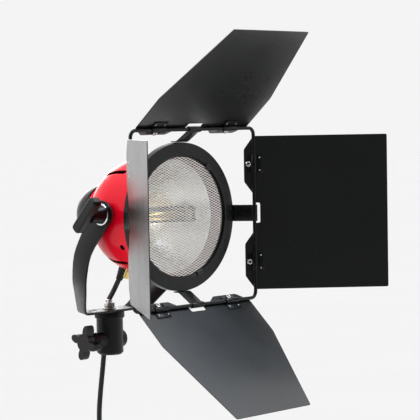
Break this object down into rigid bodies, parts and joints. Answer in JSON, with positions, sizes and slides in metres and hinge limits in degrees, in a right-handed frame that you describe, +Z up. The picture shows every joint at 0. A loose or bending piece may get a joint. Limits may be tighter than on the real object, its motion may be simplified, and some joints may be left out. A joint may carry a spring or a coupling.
{
  "type": "open-face flood light",
  "caption": "Open-face halogen flood head with a red rounded housing, hinged barn doors on a turning ring, a tilting yoke and a stand socket.",
  "frame": {"origin": "centre of the stand socket's mouth", "axes": "+Z up the stand, -Y the way the lamp faces with the head level, +X along the tilt axis"},
  "size_m": [0.4733, 0.3759, 0.8154],
  "materials": {
    "red_gloss": "high-gloss red stove enamel",
    "black_paint": "satin black paint",
    "black_panel": "matt black high-temperature paint",
    "black_cast": "satin black paint on a casting",
    "black_plastic": "black moulded plastic, low sheen",
    "rocker_red": "red gloss plastic",
    "grey_fibre": "grey friction fibre",
    "steel": "zinc-plated steel",
    "chrome": "bright chrome plate",
    "brass": "turned brass",
    "bright_reflector": "bright pebbled aluminium",
    "mesh_wire": "bare expanded mesh",
    "ceramic": "unglazed ceramic",
    "quartz": "clear quartz",
    "cord_rubber": "matt black rubber"
  },
  "bodies": {
    "base": {"yoke": "black_paint", "socket_body": "black_cast", "yoke_bolt": "steel", "yoke_nut": "steel", "yoke_washer": "steel", "friction_disc_left": "grey_fibre", "friction_disc_right": "grey_fibre", "pivot_washer": "chrome", "pivot_bolt": "steel", "cord_lead": "cord_rubber", "cord_switch": "black_plastic", "cord_tail": "cord_rubber", "cord_coil": "cord_rubber", "plug": "black_plastic"},
    "head": {"lamp_housing": "red_gloss", "front_bezel": "black_paint", "mesh_guard": "mesh_wire", "reflector": "bright_reflector", "rear_bulkhead": "black_paint", "guide_rod_left": "steel", "guide_rod_right": "steel", "terminal_block": "ceramic", "ring_clip_1": "steel", "ring_clip_2": "steel", "ring_clip_3": "steel", "pivot_boss_left": "black_paint", "pivot_boss_right": "black_paint", "cable_gland": "black_plastic", "strain_relief": "cord_rubber", "earth_screw": "brass"},
    "tilt_lock": {"tilt_knob": "black_plastic", "tilt_stud": "steel"},
    "clamp_slide": {"clamp_pad": "brass"},
    "clamp_screw": {"clamp_stud": "steel", "clamp_knob": "black_plastic"},
    "focus_drive": {"focus_knob": "black_plastic", "focus_screw": "steel"},
    "lamp_carriage": {"lamp_carriage": "steel", "lampholder_left": "ceramic", "lampholder_right": "ceramic", "halogen_lamp": "quartz"},
    "door_ring": {"door_ring": "black_paint", "door_frame": "black_paint", "strap_top": "black_paint", "strap_bottom": "black_paint", "strap_left": "black_paint", "strap_right": "black_paint"},
    "leaf_top": {"leaf_top": "black_panel", "leaf_top_clamp_a": "black_paint", "leaf_top_clamp_b": "black_paint"},
    "leaf_bottom": {"leaf_bottom": "black_panel", "leaf_bottom_clamp_a": "black_paint", "leaf_bottom_clamp_b": "black_paint"},
    "leaf_left": {"leaf_left": "black_panel", "leaf_left_clamp_a": "black_paint", "leaf_left_clamp_b": "black_paint"},
    "leaf_right": {"leaf_right": "black_panel", "leaf_right_clamp_a": "black_paint", "leaf_right_clamp_b": "black_paint"},
    "switch_rocker": {"switch_rocker": "rocker_red"}
  },
  "joints": [
    {"name": "head_tilt", "type": "hinge", "parent": "base", "child": "head", "pos_m": [0, -0.0797, 0.198], "axis": [1, 0, 0], "range_deg": [-75, 50], "deforming": ["cord_lead"]},
    {"name": "tilt_lock_turn", "type": "hinge", "parent": "head", "child": "tilt_lock", "pos_m": [0, -0.0797, 0.198], "axis": [-1, 0, 0], "range_deg": [0, 150]},
    {"name": "clamp_pad_slide", "type": "slide", "parent": "base", "child": "clamp_slide", "axis": [-1, 0, 0], "range_m": [-0.0001, 0.0047]},
    {"name": "clamp_screw_turn", "type": "hinge", "parent": "clamp_slide", "child": "clamp_screw", "pos_m": [-0.044, 0, 0.02], "axis": [-1, 0, 0], "range_deg": [0, 1080]},
    {"name": "focus_turn", "type": "hinge", "parent": "head", "child": "focus_drive", "pos_m": [0, 0.0015, 0.192], "axis": [0, -1, 0], "range_deg": [-150, 150]},
    {"name": "carriage_slide", "type": "slide", "parent": "head", "child": "lamp_carriage", "axis": [0, -1, 0], "range_m": [-0.0121, 0.0121]},
    {"name": "door_ring_turn", "type": "hinge", "parent": "head", "child": "door_ring", "pos_m": [0, -0.144, 0.192], "axis": [0, -1, 0], "continuous": true},
    {"name": "leaf_top_swing", "type": "hinge", "parent": "door_ring", "child": "leaf_top", "pos_m": [0, -0.1671, 0.3063], "axis": [1, 0, 0], "range_deg": [-59.9, 128.1]},
    {"name": "leaf_bottom_swing", "type": "hinge", "parent": "door_ring", "child": "leaf_bottom", "pos_m": [0, -0.1671, 0.0777], "axis": [-1, 0, 0], "range_deg": [-57.3, 118.7]},
    {"name": "leaf_left_swing", "type": "hinge", "parent": "door_ring", "child": "leaf_left", "pos_m": [-0.1143, -0.1671, 0.192], "axis": [0, 0, -1], "range_deg": [-124.6, 63.4]},
    {"name": "leaf_right_swing", "type": "hinge", "parent": "door_ring", "child": "leaf_right", "pos_m": [0.1143, -0.1671, 0.192], "axis": [0, 0, 1], "range_deg": [-122.4, 53.6]},
    {"name": "rocker_press", "type": "hinge", "parent": "base", "child": "switch_rocker", "pos_m": [0, 0.0338, -0.149], "axis": [-1, 0, 0], "range_deg": [0, 14]}
  ],
  "couplings": [
    {"joint": "carriage_slide", "follows": "focus_turn", "m_per_rad": 0.0045837},
    {"joint": "clamp_pad_slide", "follows": "clamp_screw_turn", "m_per_rad": 0.00023873}
  ]
}
